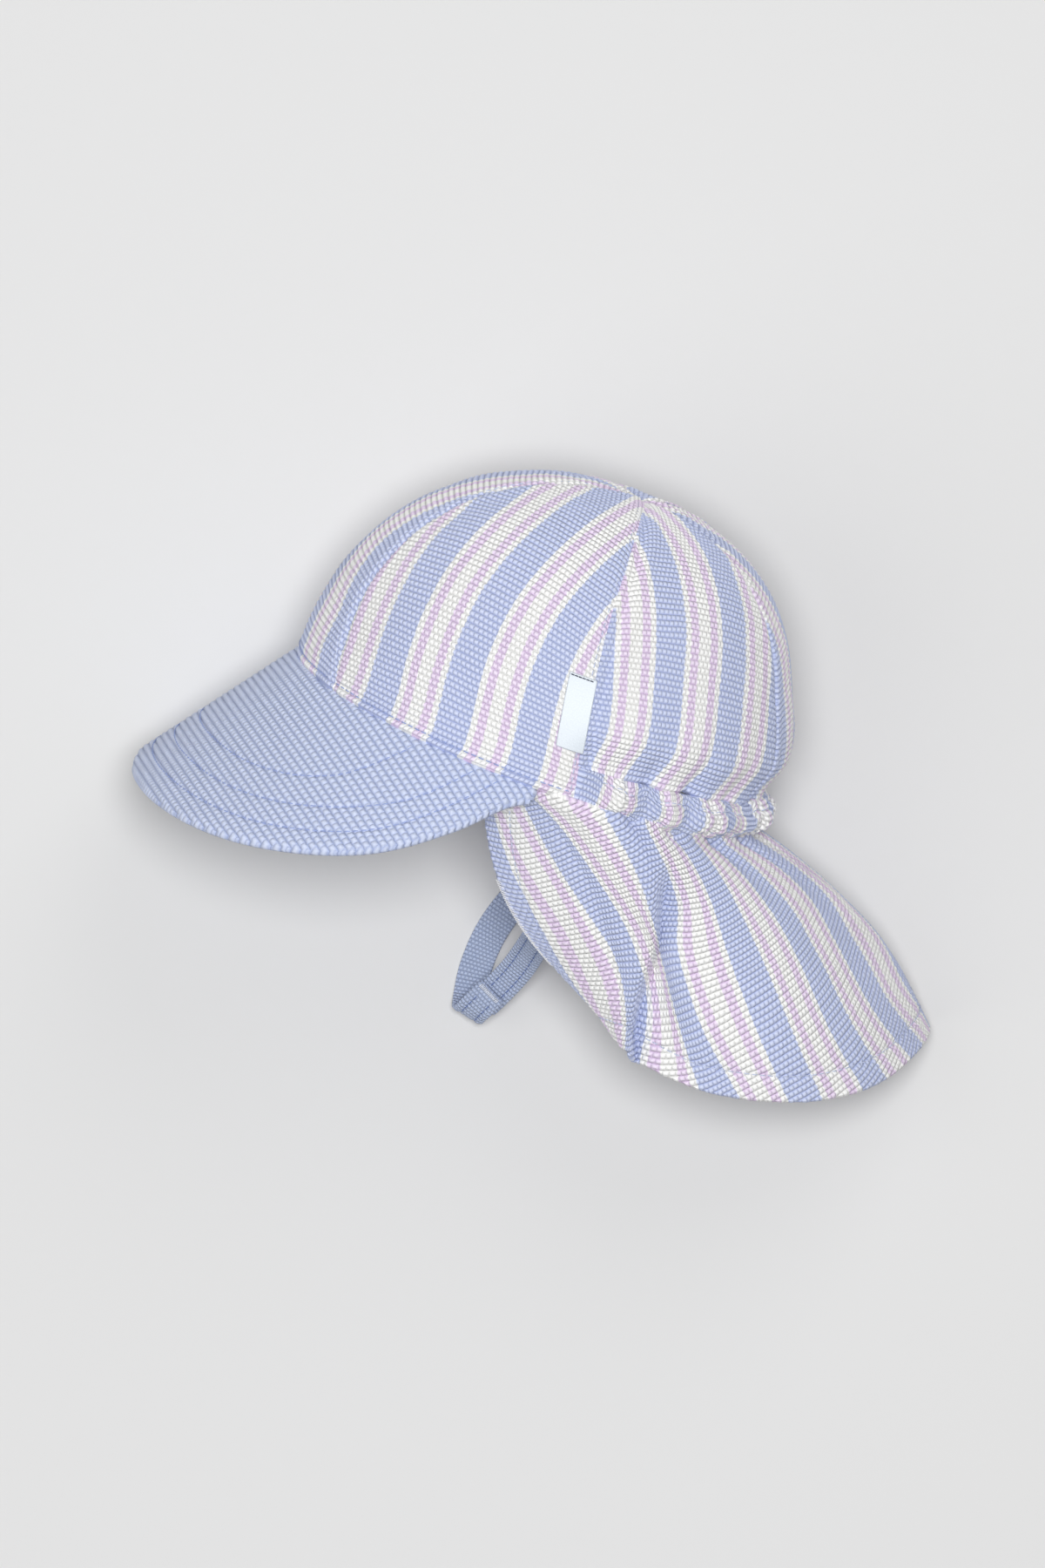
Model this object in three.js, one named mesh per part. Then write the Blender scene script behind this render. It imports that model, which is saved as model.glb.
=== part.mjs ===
// A child's striped sun hat with a peak, a gathered back, a neck flap and a chin strap.
// It lies on its right side, filled out to the shape of a head, and rests on the ground plane.
// Millimetres and degrees. +X runs from the peak to the back, +Y to the crown's top, +Z up.

import * as THREE from 'three';

const { degToRad, lerp, clamp, smoothstep } = THREE.MathUtils;

// Crown: half length and half width of the rim, height, and how square its profile is
const CROWN = { halfLength: 83, halfWidth: 70, height: 87.5, fullness: 2.3, lean: 8.7, wall: 1.6 };
const APEX_HOLE = 2.2;
const SEAM_GAP = 0.3;
const NOTCH_HEIGHT = 11;

// Seams, as azimuths from the front: at the rim, at the top, and how fast they change
const FRONT_SEAM = { rim: 56, top: 42, ease: 1.6 };
const REAR_SEAM = { rim: 124, top: 114, ease: 1.3 };

// How the hat lies: the way its left side faces up, and the rim centre's height above the ground
const LIE = { azimuth: 112, elevation: 12, height: 62, softness: 4 };

const PEAK = { length: 66, thickness: 3, slope: 53.5, halfSpan: 114 };
// Its edge round the rim, as shares of its length
const PEAK_EDGE = [
  { around: 0, share: 1 },
  { around: 19, share: 0.994 },
  { around: 40, share: 1 },
  { around: 60, share: 0.955 },
  { around: 75, share: 0.845 },
  { around: 90, share: 0.635 },
  { around: 102, share: 0.343 },
  { around: 110, share: 0.121 },
  { around: 118, share: 0.023 },
];

// Gathered band round the back, and the pleats that its elastic draws into it
const BAND = { low: -2, high: NOTCH_HEIGHT - SEAM_GAP, puff: 6.4, topInset: 3, inside: 4.8, taper: 11 };
const PLEAT = { depth: 3, width: 2.4, fade: 13 };
const PLEAT_AROUND = [140.7, 152.5, 168.3, 185, 199, 214, 228];
const GATHER = { swell: 2.4, swellHeight: 26, fadeHeight: 50, blend: 8 };

// Neck flap: wall, length, its ends at the rim, and how far inside the rim it is sewn
const FLAP = {
  wall: 1.6, length: 108, start: 101.6, end: 258.4, earInset: 3.4, backInset: 0.6, sewn: -3.5, tuck: 2,
  bowEase: 0.82,
};
// Its lines from the rim to the hem, as shares of its length: the way to the hem, and the bow
const FLAP_LINES = [
  { around: 101.6, wayX: 0.662, wayY: -0.633, wayZ: -0.652, bowX: -0.076, bowY: -0.115, bowZ: -0.093 },
  { around: 105.5, wayX: 0.593, wayY: -0.655, wayZ: -0.541, bowX: -0.004, bowY: -0.098, bowZ: -0.077 },
  { around: 109.5, wayX: 0.566, wayY: -0.665, wayZ: -0.463, bowX: 0.06, bowY: -0.044, bowZ: -0.052 },
  { around: 112.4, wayX: 0.57, wayY: -0.655, wayZ: -0.425, bowX: 0.087, bowY: 0.01, bowZ: -0.05 },
  { around: 119, wayX: 0.537, wayY: -0.646, wayZ: -0.416, bowX: 0.09, bowY: 0.026, bowZ: -0.045 },
  { around: 126, wayX: 0.534, wayY: -0.654, wayZ: -0.437, bowX: 0.063, bowY: 0.027, bowZ: -0.047 },
  { around: 138.7, wayX: 0.538, wayY: -0.66, wayZ: -0.414, bowX: 0.005, bowY: 0.022, bowZ: -0.025 },
  { around: 153.3, wayX: 0.642, wayY: -0.609, wayZ: -0.414, bowX: 0.001, bowY: 0.041, bowZ: 0.004 },
  { around: 166.8, wayX: 0.715, wayY: -0.517, wayZ: -0.465, bowX: 0.039, bowY: 0.043, bowZ: 0.003 },
  { around: 182, wayX: 0.731, wayY: -0.411, wayZ: -0.541, bowX: 0.058, bowY: 0.042, bowZ: -0.021 },
  { around: 197, wayX: 0.714, wayY: -0.358, wayZ: -0.611, bowX: 0.099, bowY: 0.032, bowZ: -0.06 },
  { around: 213, wayX: 0.62, wayY: -0.44, wayZ: -0.487, bowX: 0.067, bowY: 0.033, bowZ: -0.161 },
  { around: 232, wayX: 0.42, wayY: -0.687, wayZ: -0.282, bowX: -0.03, bowY: -0.005, bowZ: -0.08 },
  { around: 247, wayX: 0.221, wayY: -0.722, wayZ: -0.163, bowX: -0.056, bowY: 0, bowZ: -0.037 },
  { around: 258.4, wayX: 0.157, wayY: -0.729, wayZ: -0.084, bowX: -0.019, bowY: 0, bowZ: -0.009 },
];
// Valley fold in the flap's near half: steep on its front side, with a low ridge before it
const CREASE = { depth: 8, frontWidth: 2, backWidth: 7, ridge: 2, ridgeWidth: 3, ridgeAhead: 5, begins: 0.35, reach: 6 };
const CREASE_LINE = [
  { down: 0, around: 151 },
  { down: 0.25, around: 142 },
  { down: 0.45, around: 134 },
  { down: 0.65, around: 123.5 },
  { down: 0.85, around: 117.2 },
  { down: 1, around: 115.5 },
];

// Chin strap: a flat ribbon in two halves, closed on each other at the turn; reach is the loop's own
const STRAP = { width: 10, thickness: 1.6, reach: 94 };
// Where it is sewn inside the flap: the gap is a share of the strap's thickness
const SEWN_ROWS = [
  { down: 0.07, gap: 0.56 },
  { down: 0.12, gap: 1.06 },
  { down: 0.18, gap: 2.81 },
];
// Its lines beyond the stitching: x and y are shares of the reach, z is a share of the lying height,
// and turn and lift give the way of the ribbon's width
const NEAR_STRAP = { around: 131, turn: 2, lift: -18 };
const NEAR_STRAP_LINE = [
  { x: 0.319, y: -0.436, z: 1.129, turn: -14, lift: -8 },
  { x: 0.272, y: -0.647, z: 0.581, turn: -33, lift: 0 },
  { x: 0.239, y: -0.787, z: 0.323, turn: -22, lift: 0 },
  { x: 0.194, y: -0.894, z: 0.226, turn: -13, lift: 0 },
  { x: 0.17, y: -0.941, z: 0.203, turn: -13, lift: 0 },
];
const FAR_STRAP = { around: 229, turn: -8, lift: 35 };
const FAR_STRAP_LINE = [
  { x: 0.404, y: -0.181, z: 0.274, turn: 22, lift: 28 },
  { x: 0.277, y: -0.34, z: 0.129, turn: 34, lift: 8 },
  { x: 0.17, y: -0.511, z: 0.048, turn: 32, lift: 0 },
  { x: 0.113, y: -0.681, z: 0.023, turn: 30, lift: 0 },
  { x: 0.102, y: -0.83, z: 0.019, turn: 30, lift: 0 },
  { x: 0.117, y: -0.941, z: 0.042, turn: 10, lift: 0 },
  { x: 0.132, y: -0.998, z: 0.142, turn: -13, lift: 0 },
  { x: 0.145, y: -0.974, z: 0.216, turn: -13, lift: 0 },
  { x: 0.164, y: -0.936, z: 0.252, turn: -13, lift: 0 },
  { x: 0.185, y: -0.894, z: 0.265, turn: -13, lift: 0 },
];

// Bare label on the left side panel, beside its rear seam
const LABEL = { width: 7.6, low: 15.5, high: 38.6, gap: 0.3, thickness: 0.7 };

// Mesh steps
const PANEL_STEPS = { around: 12, up: 13 };
const PEAK_STEPS = { around: 30, along: 8 };
const BAND_STEPS = { around: 44, up: 5 };
const FLAP_STEPS = { around: 50, along: 11 };
// Shares of the flap's columns where the closer ones at the fold begin and end
const FOLD_COLUMNS = { begin: 0.64, end: 0.84 };
const STRAP_STEPS = 26;
const LABEL_STEPS = { around: 2, up: 6 };

const COLOURS = { striped: 0xd9ddec, plain: 0xa8bee2, strap: 0x8296c4, label: 0xe9edf3 };

// Directions of the lying hat: the rim's long way, the way to the crown's top, and up
const azimuth = degToRad(LIE.azimuth);
const elevation = degToRad(LIE.elevation);
const ALONG = new THREE.Vector3(-Math.sin(azimuth), Math.cos(azimuth), 0);
const TOWARD_UP = new THREE.Vector3(
  Math.cos(azimuth) * Math.cos(elevation),
  Math.sin(azimuth) * Math.cos(elevation),
  Math.sin(elevation),
);
const TOWARD_TOP = new THREE.Vector3().crossVectors(TOWARD_UP, ALONG);

// A height that the ground flattens softly, so that nothing goes below it
function settle(height) {
  if (height > LIE.softness) return height;
  if (height < -LIE.softness) return 0;
  return (height + LIE.softness) ** 2 / (4 * LIE.softness);
}

// From the worn hat's own axes (forward, left, up) to the lying hat
function lay(worn) {
  const height = worn.dot(TOWARD_UP) + LIE.height;
  return new THREE.Vector3(worn.dot(ALONG), worn.dot(TOWARD_TOP), settle(height));
}

// Smooth curve through the rows of a table
function through(rows, key, name, at) {
  const last = rows.length - 1;
  if (at <= rows[0][key]) return rows[0][name];
  if (at >= rows[last][key]) return rows[last][name];
  let i = 0;
  while (rows[i + 1][key] < at) i += 1;
  const slope = (a, b) => (rows[b][name] - rows[a][name]) / (rows[b][key] - rows[a][key]);
  const span = rows[i + 1][key] - rows[i][key];
  const t = (at - rows[i][key]) / span;
  const m0 = slope(Math.max(i - 1, 0), i + 1) * span;
  const m1 = slope(i, Math.min(i + 2, last)) * span;
  const a = rows[i][name];
  const b = rows[i + 1][name];
  const cubic = 2 * a - 2 * b + m0 + m1;
  const square = 3 * b - 3 * a - 2 * m0 - m1;
  return ((cubic * t + square) * t + m0) * t + a;
}

// Share of the rim's size that the crown has at a height
function profile(height) {
  const share = clamp(height / CROWN.height, 0, 1);
  return (1 - share ** CROWN.fullness) ** (1 / CROWN.fullness);
}

// A point at an azimuth and a height of the worn crown, moved outward by a distance
function wornPoint(around, height, outward = 0) {
  const angle = degToRad(around);
  const share = profile(height);
  const lean = CROWN.lean * clamp(height / CROWN.height, 0, 1) ** 2;
  return new THREE.Vector3(
    (CROWN.halfLength * share + outward) * Math.cos(angle),
    (CROWN.halfWidth * share + outward) * Math.sin(angle),
    height,
  ).addScaledVector(ALONG, lean);
}

// Depth of the nearest pleats at an azimuth, from 0 to 1
function pleat(around) {
  const depths = PLEAT_AROUND.map((place) => Math.exp(-(((around - place) / PLEAT.width) ** 2)));
  return Math.min(1, depths.reduce((sum, depth) => sum + depth, 0));
}

// How much of the gathers there is at an azimuth: none on the side panels, all at the back
function gathered(around) {
  const seam = 180 - REAR_SEAM.rim;
  return 1 - smoothstep(Math.abs(around - 180), seam - GATHER.blend, seam + GATHER.blend);
}

// How far the gathers move the crown's back outward or inward
function gather(around, height) {
  const rise = smoothstep(height, NOTCH_HEIGHT, GATHER.swellHeight);
  const fall = 1 - smoothstep(height, GATHER.swellHeight, GATHER.fadeHeight);
  const drawn = lerp(-BAND.topInset, GATHER.swell, rise) * fall;
  const crease = PLEAT.depth * pleat(around) * Math.exp(-(height - NOTCH_HEIGHT) / PLEAT.fade);
  return gathered(around) * (drawn - crease * 0.6);
}

function seamAzimuth(seam, height) {
  const left = (1 - clamp(height / CROWN.height, 0, 1)) ** seam.ease;
  return seam.top + (seam.rim - seam.top) * left;
}

// A closed body from two matching grids of points, one for each face
function closedBody(outer, inner, columns, rows) {
  const positions = [];
  for (const grid of [outer, inner]) {
    for (const point of grid) positions.push(point.x, point.y, point.z);
  }
  const index = [];
  const at = (i, j, face) => face * (columns + 1) * (rows + 1) + j * (columns + 1) + i;
  const quad = (a, b, c, d) => index.push(a, b, c, a, c, d);
  for (let j = 0; j < rows; j += 1) {
    for (let i = 0; i < columns; i += 1) {
      quad(at(i, j, 0), at(i + 1, j, 0), at(i + 1, j + 1, 0), at(i, j + 1, 0));
      quad(at(i, j, 1), at(i, j + 1, 1), at(i + 1, j + 1, 1), at(i + 1, j, 1));
    }
  }
  for (let i = 0; i < columns; i += 1) {
    quad(at(i, 0, 0), at(i, 0, 1), at(i + 1, 0, 1), at(i + 1, 0, 0));
    quad(at(i, rows, 0), at(i + 1, rows, 0), at(i + 1, rows, 1), at(i, rows, 1));
  }
  for (let j = 0; j < rows; j += 1) {
    quad(at(0, j, 0), at(0, j + 1, 0), at(0, j + 1, 1), at(0, j, 1));
    quad(at(columns, j, 0), at(columns, j, 1), at(columns, j + 1, 1), at(columns, j + 1, 0));
  }
  const geometry = new THREE.BufferGeometry();
  geometry.setAttribute('position', new THREE.Float32BufferAttribute(positions, 3));
  geometry.setIndex(index);
  geometry.computeVertexNormals();
  return geometry;
}

// Points of a surface, and the same points moved along its normal by minus the wall
function sheet(surface, columns, rows, wall) {
  const step = 0.004;
  const outer = [];
  const inner = [];
  for (let j = 0; j <= rows; j += 1) {
    for (let i = 0; i <= columns; i += 1) {
      const u = i / columns;
      const v = j / rows;
      const across = surface(Math.min(u + step, 1), v).sub(surface(Math.max(u - step, 0), v));
      const along = surface(u, Math.min(v + step, 1)).sub(surface(u, Math.max(v - step, 0)));
      const point = surface(u, v);
      outer.push(point);
      inner.push(point.clone().addScaledVector(across.cross(along).normalize(), -wall));
    }
  }
  return closedBody(outer, inner, columns, rows);
}

// One crown panel between two seams; from and to give the seam azimuth at a height
function panelGeometry(from, to, low) {
  const high = CROWN.height * (1 - (APEX_HOLE / CROWN.halfWidth) ** CROWN.fullness) ** (1 / CROWN.fullness);
  const surface = (u, v) => {
    const height = low + (high - low) * Math.sin((v * Math.PI) / 2) ** 0.94;
    const radius = CROWN.halfWidth * profile(height);
    const gap = Math.min((SEAM_GAP / 2 / radius) * (180 / Math.PI), 6);
    const around = lerp(from(height) + gap, to(height) - gap, u);
    return lay(wornPoint(around, height, gather(around, height)));
  };
  return sheet(surface, PANEL_STEPS.around, PANEL_STEPS.up, CROWN.wall);
}

function peakGeometry() {
  const slope = degToRad(PEAK.slope);
  const surface = (u, v) => {
    const around = lerp(PEAK.halfSpan, -PEAK.halfSpan, u);
    const angle = degToRad(around);
    const length = PEAK.length * through(PEAK_EDGE, 'around', 'share', Math.abs(around)) * v;
    const way = new THREE.Vector3(Math.cos(angle), Math.sin(angle), 0).multiplyScalar(Math.cos(slope));
    way.z = -Math.sin(slope);
    return lay(wornPoint(around, -SEAM_GAP).addScaledVector(way, length));
  };
  return sheet(surface, PEAK_STEPS.around, PEAK_STEPS.along, PEAK.thickness);
}

function bandGeometry() {
  const { around: columns, up: rows } = BAND_STEPS;
  const outer = [];
  const inner = [];
  const gap = (SEAM_GAP / 2 / CROWN.halfWidth) * (180 / Math.PI);
  for (let j = 0; j <= rows; j += 1) {
    for (let i = 0; i <= columns; i += 1) {
      const around = lerp(REAR_SEAM.rim + gap, 360 - REAR_SEAM.rim - gap, i / columns);
      const share = j / rows;
      const height = lerp(BAND.low, BAND.high, share);
      const swell = Math.sin(Math.PI * share);
      const seam = 180 - REAR_SEAM.rim;
      const ends = 1 - smoothstep(Math.abs(around - 180), seam - BAND.taper, seam);
      const puff = (BAND.puff * swell ** 0.7 - PLEAT.depth * pleat(around) * swell) * ends;
      outer.push(lay(wornPoint(around, height, puff - BAND.topInset * gathered(around))));
      inner.push(lay(wornPoint(around, height, -BAND.inside)));
    }
  }
  return closedBody(outer, inner, columns, rows);
}

// How far the valley fold and its ridge lower the flap, at an azimuth and a share of the way down
function foldDepth(around, down) {
  const off = around - through(CREASE_LINE, 'down', 'around', down);
  const front = Math.exp(-((off / CREASE.frontWidth) ** 2));
  const back = Math.exp(-off / CREASE.backWidth);
  const ridge = Math.exp(-(((off + CREASE.ridgeAhead) / CREASE.ridgeWidth) ** 2));
  const valley = off < 0 ? front : back;
  return (CREASE.depth * valley - CREASE.ridge * ridge) * smoothstep(down, 0, CREASE.begins);
}

// A point of the flap's outer face, at an azimuth of the rim and a share of the way to the hem
function flapPoint(around, down) {
  const share = (name) => through(FLAP_LINES, 'around', name, around);
  const ear = Math.abs(around - 180);
  const inset = lerp(FLAP.backInset, FLAP.earInset, smoothstep(ear, 55, 63));
  const height = lerp(FLAP.sewn, FLAP.tuck, smoothstep(ear, 64, 72));
  const way = new THREE.Vector3(share('wayX'), share('wayY'), share('wayZ'));
  const bow = new THREE.Vector3(share('bowX'), share('bowY'), share('bowZ'));
  const point = lay(wornPoint(around, height, -inset));
  point.addScaledVector(way, FLAP.length * down);
  point.addScaledVector(bow, FLAP.length * Math.sin(Math.PI * clamp(down, 0, 1) ** FLAP.bowEase));
  point.z = settle(point.z - foldDepth(around, down));
  return point;
}

// Azimuth of a flap column at a share of the way down: the columns crowd along the fold
function columnAround(u, down) {
  const fold = through(CREASE_LINE, 'down', 'around', down);
  const { begin, end } = FOLD_COLUMNS;
  if (u < begin) return lerp(FLAP.end, fold + CREASE.reach, u / begin);
  if (u < end) return lerp(fold + CREASE.reach, fold - CREASE.reach, (u - begin) / (end - begin));
  return lerp(fold - CREASE.reach, FLAP.start, (u - end) / (1 - end));
}

// A point of the flap's inner face, moved further in by a distance
function insideFlap(around, down, distance) {
  const step = 0.5;
  const across = flapPoint(around - step, down).sub(flapPoint(around + step, down));
  const along = flapPoint(around, down + step / 100).sub(flapPoint(around, down - step / 100));
  const inward = across.cross(along).normalize();
  return flapPoint(around, down).addScaledVector(inward, -FLAP.wall - distance);
}

function flapGeometry() {
  const surface = (u, v) => flapPoint(columnAround(u, v), v);
  return sheet(surface, FLAP_STEPS.around, FLAP_STEPS.along, FLAP.wall);
}

// A strap half, sewn inside the flap and then running freely along the rows of its table
function strapGeometry(sewn, freeRows) {
  const sewnRows = SEWN_ROWS.map(({ down, gap }) => {
    const point = insideFlap(sewn.around, down, (gap + 0.5) * STRAP.thickness);
    return { point, turn: sewn.turn, lift: sewn.lift };
  });
  const free = freeRows.map(({ x, y, z, turn, lift }) => {
    const point = new THREE.Vector3(x * STRAP.reach, y * STRAP.reach, z * LIE.height);
    return { point, turn, lift };
  });
  return ribbonGeometry([...sewnRows, ...free]);
}

// A flat ribbon along a line of rows
function ribbonGeometry(rows) {
  const line = new THREE.CatmullRomCurve3(rows.map((row) => row.point));
  const upper = [];
  const lower = [];
  for (let i = 0; i <= STRAP_STEPS; i += 1) {
    const t = i / STRAP_STEPS;
    const place = t * (rows.length - 1);
    const before = Math.min(Math.floor(place), rows.length - 2);
    const angle = (name) => degToRad(lerp(rows[before][name], rows[before + 1][name], place - before));
    const turn = angle('turn');
    const lift = angle('lift');
    const way = line.getTangent(t);
    const across = new THREE.Vector3(Math.cos(turn) * Math.cos(lift), Math.sin(turn) * Math.cos(lift), Math.sin(lift));
    across.addScaledVector(way, -across.dot(way)).normalize();
    const face = new THREE.Vector3().crossVectors(across, way);
    for (const side of [-0.5, 0.5]) {
      const edge = line.getPoint(t).addScaledVector(across, side * STRAP.width);
      upper.push(edge.clone().addScaledVector(face, STRAP.thickness / 2));
      lower.push(edge.clone().addScaledVector(face, -STRAP.thickness / 2));
    }
  }
  return closedBody(upper, lower, 1, STRAP_STEPS);
}

function labelGeometry() {
  const surface = (u, v) => {
    const height = lerp(LABEL.low, LABEL.high, v);
    const radius = CROWN.halfWidth * profile(height);
    const turn = (LABEL.width / radius) * (180 / Math.PI);
    const edge = seamAzimuth(REAR_SEAM, height) - (SEAM_GAP / radius) * (180 / Math.PI);
    const around = lerp(edge - turn, edge, u);
    const outward = gather(around, height) + LABEL.gap + LABEL.thickness;
    return lay(wornPoint(around, height, outward));
  };
  return sheet(surface, LABEL_STEPS.around, LABEL_STEPS.up, LABEL.thickness);
}

const group = new THREE.Group();

function addPiece(name, geometry, color) {
  const material = new THREE.MeshStandardMaterial({ color, roughness: 0.95, metalness: 0 });
  const mesh = new THREE.Mesh(geometry, material);
  mesh.name = name;
  group.add(mesh);
}

const front = () => 0;
const back = () => 180;
const frontLeft = (height) => seamAzimuth(FRONT_SEAM, height);
const rearLeft = (height) => seamAzimuth(REAR_SEAM, height);
const frontRight = (height) => -frontLeft(height);
const rearRight = (height) => -rearLeft(height);
const rearRightRound = (height) => 360 - rearLeft(height);

const PANELS = [
  { name: 'crown_front_left', from: front, to: frontLeft, low: 0 },
  { name: 'crown_side_left', from: frontLeft, to: rearLeft, low: 0 },
  { name: 'crown_back_left', from: rearLeft, to: back, low: NOTCH_HEIGHT },
  { name: 'crown_back_right', from: back, to: rearRightRound, low: NOTCH_HEIGHT },
  { name: 'crown_side_right', from: rearRight, to: frontRight, low: 0 },
  { name: 'crown_front_right', from: frontRight, to: front, low: 0 },
];
for (const panel of PANELS) {
  addPiece(panel.name, panelGeometry(panel.from, panel.to, panel.low), COLOURS.striped);
}
addPiece('peak', peakGeometry(), COLOURS.plain);
addPiece('back_band', bandGeometry(), COLOURS.striped);
addPiece('neck_flap', flapGeometry(), COLOURS.striped);
addPiece('chin_strap_near', strapGeometry(NEAR_STRAP, NEAR_STRAP_LINE), COLOURS.strap);
addPiece('chin_strap_far', strapGeometry(FAR_STRAP, FAR_STRAP_LINE), COLOURS.strap);
addPiece('side_label', labelGeometry(), COLOURS.label);

// The origin is the centre of the hat's outline on the ground
const extent = new THREE.Box3().setFromObject(group);
for (const mesh of group.children) {
  mesh.position.x = -(extent.min.x + extent.max.x) / 2;
  mesh.position.y = -(extent.min.y + extent.max.y) / 2;
  mesh.position.z = -extent.min.z;
}

export default group;
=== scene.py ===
# A child's striped sun hat with a peak, a gathered back, a neck flap and a chin strap.
# It lies on its right side. Lengths here are millimetres, angles are degrees.
# The hat's own frame is the worn one: forward, left, up. It is then laid on its side.

import math

import bpy
import numpy as np
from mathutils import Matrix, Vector


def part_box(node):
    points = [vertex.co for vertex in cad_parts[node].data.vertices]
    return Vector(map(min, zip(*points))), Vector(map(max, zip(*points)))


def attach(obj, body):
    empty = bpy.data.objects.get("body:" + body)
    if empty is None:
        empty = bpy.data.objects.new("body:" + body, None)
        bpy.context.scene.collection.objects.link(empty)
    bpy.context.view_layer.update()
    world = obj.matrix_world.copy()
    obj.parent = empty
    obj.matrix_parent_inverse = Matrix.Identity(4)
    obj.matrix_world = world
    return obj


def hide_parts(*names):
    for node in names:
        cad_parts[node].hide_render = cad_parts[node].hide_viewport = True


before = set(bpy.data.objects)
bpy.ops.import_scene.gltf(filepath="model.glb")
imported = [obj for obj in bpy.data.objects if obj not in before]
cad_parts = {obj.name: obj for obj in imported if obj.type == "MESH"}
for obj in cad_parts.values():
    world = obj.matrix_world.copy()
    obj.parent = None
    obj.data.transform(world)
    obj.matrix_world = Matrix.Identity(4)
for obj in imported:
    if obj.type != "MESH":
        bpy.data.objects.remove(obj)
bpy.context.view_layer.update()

MM = 0.001

# Crown: half length and half width of the rim, height, squareness of the profile, lean of the top
CROWN_HALF_LENGTH = 83.0
CROWN_HALF_WIDTH = 70.0
CROWN_HEIGHT = 87.5
CROWN_FULLNESS = 2.3
CROWN_LEAN = 8.7
CLOTH_WALL = 1.6
APEX_HOLE = 0.8
NOTCH_HEIGHT = 11.0

# Crown panels: columns of their grids, tries for the rows' heights and how these crowd to the top,
# and the radius over which their straight ribs are laid
CROWN_COLUMNS = 117
ROW_TRIES = 600
ROW_CROWDING = 0.94
RIB_RADIUS = 80.0

# Seams, as azimuths from the front: at the rim, at the top, and how fast they change
FRONT_SEAM = (56.0, 42.0, 1.6)
REAR_SEAM = (124.0, 114.0, 1.3)

# How the hat lies
LIE_AZIMUTH = math.radians(112)
LIE_ELEVATION = math.radians(12)
LIE_HEIGHT = 62.0
LIE_SOFTNESS = 4.0

# Peak: length, thickness, slope below level, end azimuth, and its edge as shares of its length
PEAK_LENGTH = 66.0
PEAK_THICKNESS = 3.0
PEAK_SLOPE = math.radians(53.5)
PEAK_HALF_SPAN = 114.0
PEAK_EDGE = np.array([
    # around, share
    (0, 1), (19, 0.994), (40, 1), (60, 0.955), (75, 0.845),
    (90, 0.635), (102, 0.343), (110, 0.121), (118, 0.023),
])
# Stitch arcs on the peak: azimuth and distance from the rim
PEAK_ARCS = [
    np.array([(0, 40), (40, 38), (60, 35), (75, 24), (85, 3)]),
    np.array([(0, 49.5), (40, 48.5), (60, 46), (75, 38), (90, 22), (100, 2)]),
    np.array([(0, 58), (40, 57.5), (60, 55), (75, 48), (90, 33), (106, 2)]),
]

# Peak's grid, and how far its cloth lies below the solid's face
PEAK_COLUMNS = 600
PEAK_ROWS = 128
PEAK_SUNK = 0.2
# Peak laid flat: its radius at the rim, its angle as a share of the azimuth, and the cloth's turn on it
PEAK_FLAT_RADIUS = 128.0
PEAK_FLAT_SHARE = 0.595
PEAK_GRAIN = 22.0

# Gathered band and its pleats
BAND_LOW = -2.0
BAND_HIGH = NOTCH_HEIGHT - 0.3
BAND_PUFF = 6.4
BAND_TOP_INSET = 3.0
BAND_INSIDE = 4.8
BAND_PUFF_FULLNESS = 0.7
BAND_TAPER = 11.0
BAND_LAP = 0.4
BAND_END_INSET = 0.4
PLEAT_DEPTH = 3.0
PLEAT_WIDTH = 2.4
PLEAT_FADE = 13.0
PLEAT_SHARE_ON_CROWN = 0.6
PLEAT_AROUND = (140.7, 152.5, 168.3, 185, 199, 214, 228)
GATHER_SWELL = 2.4
GATHER_SWELL_HEIGHT = 26.0
GATHER_FADE_HEIGHT = 50.0
GATHER_BLEND = 8.0
BAND_COLUMNS = 380
BAND_ROWS = 44

# Neck flap
FLAP_LENGTH = 108.0
FLAP_START = 101.6
FLAP_END = 258.4
FLAP_EAR_INSET = 3.4
FLAP_BACK_INSET = 0.6
FLAP_SEWN = -3.5
FLAP_TUCK = 2.0
FLAP_BOW_EASE = 0.82
# Azimuths off the back, between which the flap's inset and its sewn height become those of the ears
EAR_INSET_FROM = (55, 63)
EAR_HEIGHT_FROM = (64, 72)
FLAP_COLUMNS = 380
FLAP_ROWS = 216
FLAP_LINES = np.array([
    # around, then shares of its length: the way to the hem, and the bow
    (101.6, 0.662, -0.633, -0.652, -0.076, -0.115, -0.093),
    (105.5, 0.593, -0.655, -0.541, -0.004, -0.098, -0.077),
    (109.5, 0.566, -0.665, -0.463, 0.06, -0.044, -0.052),
    (112.4, 0.57, -0.655, -0.425, 0.087, 0.01, -0.05),
    (119, 0.537, -0.646, -0.416, 0.09, 0.026, -0.045),
    (126, 0.534, -0.654, -0.437, 0.063, 0.027, -0.047),
    (138.7, 0.538, -0.66, -0.414, 0.005, 0.022, -0.025),
    (153.3, 0.642, -0.609, -0.414, 0.001, 0.041, 0.004),
    (166.8, 0.715, -0.517, -0.465, 0.039, 0.043, 0.003),
    (182, 0.731, -0.411, -0.541, 0.058, 0.042, -0.021),
    (197, 0.714, -0.358, -0.611, 0.099, 0.032, -0.06),
    (213, 0.62, -0.44, -0.487, 0.067, 0.033, -0.161),
    (232, 0.42, -0.687, -0.282, -0.03, -0.005, -0.08),
    (247, 0.221, -0.722, -0.163, -0.056, 0, -0.037),
    (258.4, 0.157, -0.729, -0.084, -0.019, 0, -0.009),
])
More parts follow.
